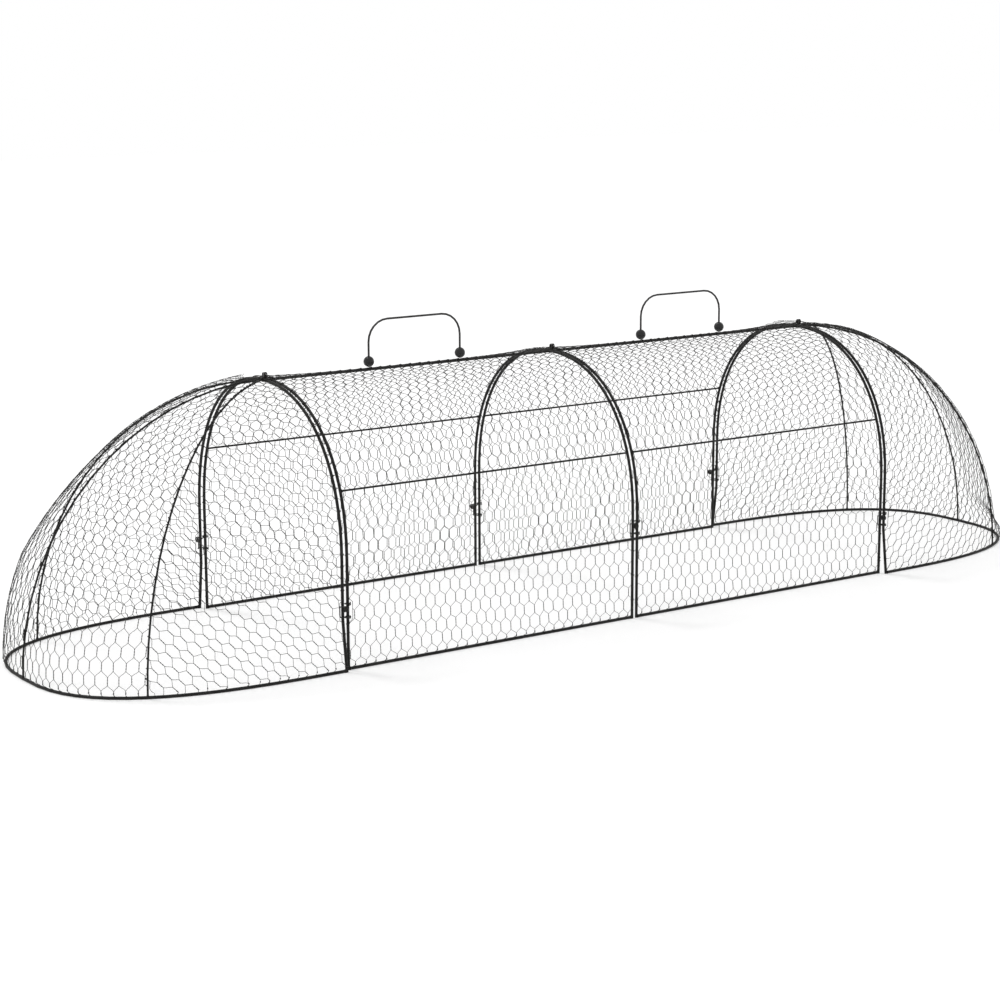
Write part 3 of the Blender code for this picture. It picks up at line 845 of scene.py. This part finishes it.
class TUNNEL_OT_middle_netting(Operator):
    """Knit the netting of the two arched middle sections"""

    bl_idname = "tunnel.middle_netting"
    bl_label = "Middle Netting"

    def execute(self, context):
        sizes = context.scene.tunnel_netting
        crossing = sizes.row_pitch - sizes.twist_length
        for index, (side, junctions) in enumerate(JUNCTIONS.items()):
            rng = np.random.default_rng(sizes.seed + index)
            body = side + "_middle"
            ends = [arch_x(f"{body}_{hand}_arch") for hand in ("left", "right")]
            sheet = middle_sheet(*ends, junctions, sizes.slack)
            room = sheet.length[-1] - 2 * FIRST_TWIST_TOP - crossing
            pitch = room / round(room / sizes.row_pitch)
            work = WireWork(sizes.wire)
            knit(work, sheet, sizes, sizes.cell_width, pitch, 0.0, rng)
            finish_net(work, body, context.scene)
        return {"FINISHED"}


class TUNNEL_OT_dome_netting(Operator):
    """Knit the netting of the two end domes, gore by gore between their ribs"""

    bl_idname = "tunnel.dome_netting"
    bl_label = "Dome Netting"

    def execute(self, context):
        sizes = context.scene.tunnel_netting
        rib = rib_turn()
        turns = (0.0, rib, math.pi / 2, math.pi - rib, math.pi)
        rib_rod = (THIN_ROD_RADIUS, NET_LIFT - THIN_ROD_LIFT)
        arch_rod = (FRAME_ROD_RADIUS, NET_LIFT)
        for index, (side, outward) in enumerate(OUTWARD.items()):
            rng = np.random.default_rng(sizes.seed + DOME_SEED_STEP + index)
            body = side + "_dome"
            place = arch_x(body + "_arch")
            work = WireWork(sizes.wire)
            for gore, (first, last) in enumerate(zip(turns, turns[1:])):
                at_side = gore in (0, 3)
                top = SIDE_GORE_TOP if at_side else FRONT_GORE_TOP
                sheet = gore_sheet(place, outward, first, last, top, NET_TAUT_HEIGHTS[side])
                sheet.rods = [rib_rod, rib_rod]
                if at_side:
                    edge, hand = (LEFT, "far") if gore == 0 else (RIGHT, "near")
                    sheet.rods[edge] = arch_rod
                    heights = latch_span(f"{side}_{hand}_latch", 2)
                    beside = [sheet.at_height(height) for height in heights]
                    reach = max(abs(y) for y in latch_span(side + "_top_latch", 1))
                    end = sheet.length[-1]
                    sheet.latches[edge] = [beside, (end - TOP_LATCH_SHARE * reach, end)]
                cell = sizes.side_cell_width if at_side else sizes.front_cell_width
                lean = (sizes.side_lean if gore == 0 else -sizes.side_lean) if at_side else 0.0
                knit(work, sheet, sizes, cell, sizes.dome_pitch, lean, rng)
            finish_net(work, body, context.scene)
        return {"FINISHED"}


def weld_collar(maker, centre, direction, rod_radius, sizes, rng):
    """A fillet of weld metal round a rod where it meets another."""
    centre = Vector(centre)
    direction = Vector(direction).normalized()
    across = direction.orthogonal().normalized()
    other = direction.cross(across)
    rings = []
    for share in WELD_RINGS:
        reach = rod_radius + sizes.weld_height * (1 - share) ** WELD_HOLLOW + WELD_GAP
        ring_centre = centre + direction * sizes.weld_length * share
        ring = []
        for step in range(WELD_SIDES):
            angle = 2 * math.pi * step / WELD_SIDES
            uneven = 1 + rng.uniform(-WELD_UNEVENNESS, WELD_UNEVENNESS) * (1 - share)
            spoke = (across * math.cos(angle) + other * math.sin(angle)) * reach * uneven
            ring.append(maker.verts.new(ring_centre + spoke))
        rings.append(ring)
    for low, high in zip(rings, rings[1:]):
        for step in range(WELD_SIDES):
            after = (step + 1) % WELD_SIDES
            maker.faces.new((low[step], low[after], high[after], high[step]))
    maker.faces.new(tuple(reversed(rings[0])))
    maker.faces.new(tuple(rings[-1]))


def middle_joints(side):
    """Where the rods of a middle section meet its arches: place, direction and rod radius."""
    joints = []
    low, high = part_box(f"{side}_middle_near_side_rod")
    side_rod = (low + high) / 2
    for hand, arch in ((1, "left"), (-1, "right")):
        x = arch_x(f"{side}_middle_{arch}_arch") + hand * FRAME_ROD_RADIUS * WELD_START
        along = (hand, 0, 0)
        joints.append(((x, 0.0, ARCH_HEIGHT), along, FRAME_ROD_RADIUS))
        for sign in (-1, 1):
            joints.append(((x, sign * HALF_WIDTH, BASE_ROD_Z), along, FRAME_ROD_RADIUS))
            joints.append(((x, sign * abs(side_rod.y), side_rod.z), along, THIN_ROD_RADIUS))
    return joints


def dome_joints(side):
    """Where a dome's hoop and ribs meet its other rods: place, direction and rod radius."""
    place, outward = arch_x(side + "_dome_arch"), OUTWARD[side]
    x = place + outward * FRAME_ROD_RADIUS * WELD_START
    foot = HALF_WIDTH + DOME_SPREAD
    joints = []
    for sign in (-1, 1):
        joints.append(((x, sign * foot, BASE_ROD_Z), (outward, 0, 0), FRAME_ROD_RADIUS))
    z = BASE_ROD_TOP - RIB_WELD_SINK
    for turn in (rib_turn(), math.pi / 2, math.pi - rib_turn()):
        depth, y = plan_point(turn, THIN_ROD_LIFT)
        joints.append(((place + outward * depth, y, z), (0, 0, 1), THIN_ROD_RADIUS))
    return joints


class TUNNEL_OT_welds(Operator):
    """Add the weld where each rod meets another"""

    bl_idname = "tunnel.welds"
    bl_label = "Welds"

    def execute(self, context):
        sizes = context.scene.tunnel_finish
        rng = np.random.default_rng(WELD_SEED)
        material = rod_material(context.scene)
        sets = {
            "left_dome": dome_joints("left"),
            "left_middle": middle_joints("left"),
            "right_middle": middle_joints("right"),
            "right_dome": dome_joints("right"),
        }
        for body, joints in sets.items():
            maker = bmesh.new()
            for centre, direction, radius in joints:
                weld_collar(maker, centre, direction, radius, sizes, rng)
            mesh = bpy.data.meshes.new(body + "_welds")
            maker.to_mesh(mesh)
            maker.free()
            mesh.shade_smooth()
            mesh.materials.append(material)
            piece = link_piece(body + "_welds", mesh)
            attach(piece, body)
        return {"FINISHED"}


def paint(ending, material):
    """Give a coat to every node whose name ends so, or in one of several ways."""
    for name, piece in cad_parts.items():
        if name.endswith(ending):
            piece.data.materials.clear()
            piece.data.materials.append(material)


class TUNNEL_OT_rods(Operator):
    """Give the arches, base rods, hoops and ribs their baked coat"""

    bl_idname = "tunnel.rods"
    bl_label = "Rods"

    def execute(self, context):
        paint(("_arch", "_rod", "_hoop", "_rib"), rod_material(context.scene))
        return {"FINISHED"}


class TUNNEL_OT_handles(Operator):
    """Finish the carrying handles and their balls"""

    bl_idname = "tunnel.handles"
    bl_label = "Handles"

    def execute(self, context):
        tones = context.scene.tunnel_finish
        wire = coated_wire(
            "handle_wire", tones.handle_dark, tones.handle_light,
            mottle=60.0, grain=900.0, roughness=(0.25, 0.45), specular=0.25, bump=0.2,
        )
        ball = coated_wire(
            "ball_gloss", tones.ball_dark, tones.ball_light,
            mottle=120.0, grain=500.0, roughness=(0.08, 0.18), specular=0.35, bump=0.08,
        )
        paint("_handle", wire)
        paint("_ball", ball)
        return {"FINISHED"}


class TUNNEL_OT_latches(Operator):
    """Finish the wire latches"""

    bl_idname = "tunnel.latches"
    bl_label = "Latches"

    def execute(self, context):
        tones = context.scene.tunnel_finish
        wire = coated_wire(
            "latch_wire", tones.latch_dark, tones.latch_light,
            mottle=90.0, grain=1100.0, roughness=(0.28, 0.48), specular=0.20, bump=0.25,
        )
        paint("_latch", wire)
        return {"FINISHED"}


def floor_material(studio):
    """A pale floor that the camera sees as white and that keeps the shadow."""
    material, tree, shader = material_nodes("studio_floor")
    tree.nodes.remove(shader)
    add = node_adder(tree)
    base = add("ShaderNodeBsdfDiffuse")
    base.inputs["Color"].default_value = (*[studio.floor_tone] * 3, 1.0)
    path = add("ShaderNodeLightPath")
    rays = [(0, path.outputs["Is Camera Ray"]), (1, path.outputs["Is Glossy Ray"])]
    seen = add("ShaderNodeMath", rays, operation="MAXIMUM")
    level = add("ShaderNodeMath", [(0, seen.outputs[0])], operation="MULTIPLY")
    level.inputs[1].default_value = studio.floor_glow
    glow = add("ShaderNodeEmission", [("Strength", level.outputs[0])])
    both = add("ShaderNodeAddShader", [(0, base.outputs[0]), (1, glow.outputs[0])])
    tree.links.new(both.outputs[0], tree.nodes["Material Output"].inputs["Surface"])
    return material


def studio_world(studio):
    """Even light, with a white background for the camera and for reflections."""
    world = bpy.data.worlds.new("studio_world")
    world.use_nodes = True
    tree = world.node_tree
    add = node_adder(tree)
    background = tree.nodes["Background"]
    background.inputs["Color"].default_value = (1.0, 1.0, 1.0, 1.0)
    path = add("ShaderNodeLightPath")
    rays = [(0, path.outputs["Is Camera Ray"]), (1, path.outputs["Is Glossy Ray"])]
    seen = add("ShaderNodeMath", rays, operation="ADD", use_clamp=True)
    rays = [(0, seen.outputs[0]), (1, path.outputs["Is Transmission Ray"])]
    seen = add("ShaderNodeMath", rays, operation="ADD", use_clamp=True)
    level = add("ShaderNodeMapRange", [("Value", seen.outputs[0])])
    level.inputs["To Min"].default_value = studio.sky
    level.inputs["To Max"].default_value = 1.0
    tree.links.new(level.outputs["Result"], background.inputs["Strength"])
    return world


def floor_mesh(studio):
    """A wide level square, at the height of the ground."""
    maker = bmesh.new()
    signs = ((-1, -1), (1, -1), (1, 1), (-1, 1))
    maker.faces.new([maker.verts.new((x * FLOOR_HALF, y * FLOOR_HALF, 0.0)) for x, y in signs])
    mesh = bpy.data.meshes.new("studio_floor")
    maker.to_mesh(mesh)
    maker.free()
    mesh.materials.append(floor_material(studio))
    return mesh


def key_lamp(studio):
    """The soft sun that draws the shadow."""
    lamp = bpy.data.lights.new("key_sun", "SUN")
    lamp.energy = studio.sun
    lamp.angle = studio.sun_spread
    key = bpy.data.objects.new("key_sun", lamp)
    key.rotation_euler = Vector(SUN_HEADING).to_track_quat("-Z", "Y").to_euler()
    return key


def studio_camera(studio):
    """The camera, headed by yaw, dipped by pitch and turned about its own axis by roll."""
    data = bpy.data.cameras.new("camera")
    data.lens = studio.lens
    data.sensor_width = SENSOR_WIDTH
    data.clip_start, data.clip_end = CAMERA_CLIP
    camera = bpy.data.objects.new("camera", data)
    yaw, pitch, roll = studio.yaw, studio.pitch, studio.roll
    level = math.cos(pitch)
    ahead = Vector((math.sin(yaw) * level, math.cos(yaw) * level, -math.sin(pitch)))
    right = Vector((math.cos(yaw), -math.sin(yaw), 0.0))
    up = right.cross(ahead)
    rolled_right = right * math.cos(roll) + up * math.sin(roll)
    rolled_up = up * math.cos(roll) - right * math.sin(roll)
    turn = Matrix((rolled_right, rolled_up, -ahead)).transposed()
    camera.matrix_world = Matrix.Translation(studio.camera_place) @ turn.to_4x4()
    return camera


class TUNNEL_OT_studio(Operator):
    """Set up the floor, the lamps and the camera"""

    bl_idname = "tunnel.studio"
    bl_label = "Studio"

    def execute(self, context):
        scene = context.scene
        studio = scene.tunnel_studio
        floor = link_piece("studio_floor", floor_mesh(studio))
        scene.world = studio_world(studio)
        scene.collection.objects.link(key_lamp(studio))
        camera = studio_camera(studio)
        scene.collection.objects.link(camera)
        scene.camera = camera
        scene.view_settings.view_transform = "Standard"
        return {"FINISHED"}


PIECE_OPERATORS = (
    TUNNEL_OT_rods,
    TUNNEL_OT_middle_netting,
    TUNNEL_OT_dome_netting,
    TUNNEL_OT_welds,
    TUNNEL_OT_handles,
    TUNNEL_OT_latches,
    TUNNEL_OT_studio,
)


class TUNNEL_PT_panel(Panel):
    """The tunnel's pieces and settings"""

    bl_idname = "TUNNEL_PT_panel"
    bl_label = "Garden Tunnel"
    bl_space_type = "VIEW_3D"
    bl_region_type = "UI"
    bl_category = "Garden Tunnel"

    def draw(self, context):
        for operator in PIECE_OPERATORS:
            self.layout.operator(operator.bl_idname)
        for name, group in SETTINGS.items():
            box = self.layout.box()
            for setting in group.__annotations__:
                box.prop(getattr(context.scene, name), setting)


def register():
    """Make Blender know the settings, the operators and the panel."""
    for group in SETTINGS.values():
        bpy.utils.register_class(group)
    for operator in PIECE_OPERATORS:
        bpy.utils.register_class(operator)
    bpy.utils.register_class(TUNNEL_PT_panel)
    for name, group in SETTINGS.items():
        setattr(bpy.types.Scene, name, PointerProperty(type=group))


def unregister():
    """Take back what register did."""
    for name in SETTINGS:
        delattr(bpy.types.Scene, name)
    bpy.utils.unregister_class(TUNNEL_PT_panel)
    for operator in reversed(PIECE_OPERATORS):
        bpy.utils.unregister_class(operator)
    for group in reversed(SETTINGS.values()):
        bpy.utils.unregister_class(group)


def main():
    """Dress the part."""
    register()
    bpy.ops.tunnel.rods()
    bpy.ops.tunnel.middle_netting()
    bpy.ops.tunnel.dome_netting()
    bpy.ops.tunnel.welds()
    bpy.ops.tunnel.handles()
    bpy.ops.tunnel.latches()
    bpy.ops.tunnel.studio()


if __name__ == "__main__":
    main()
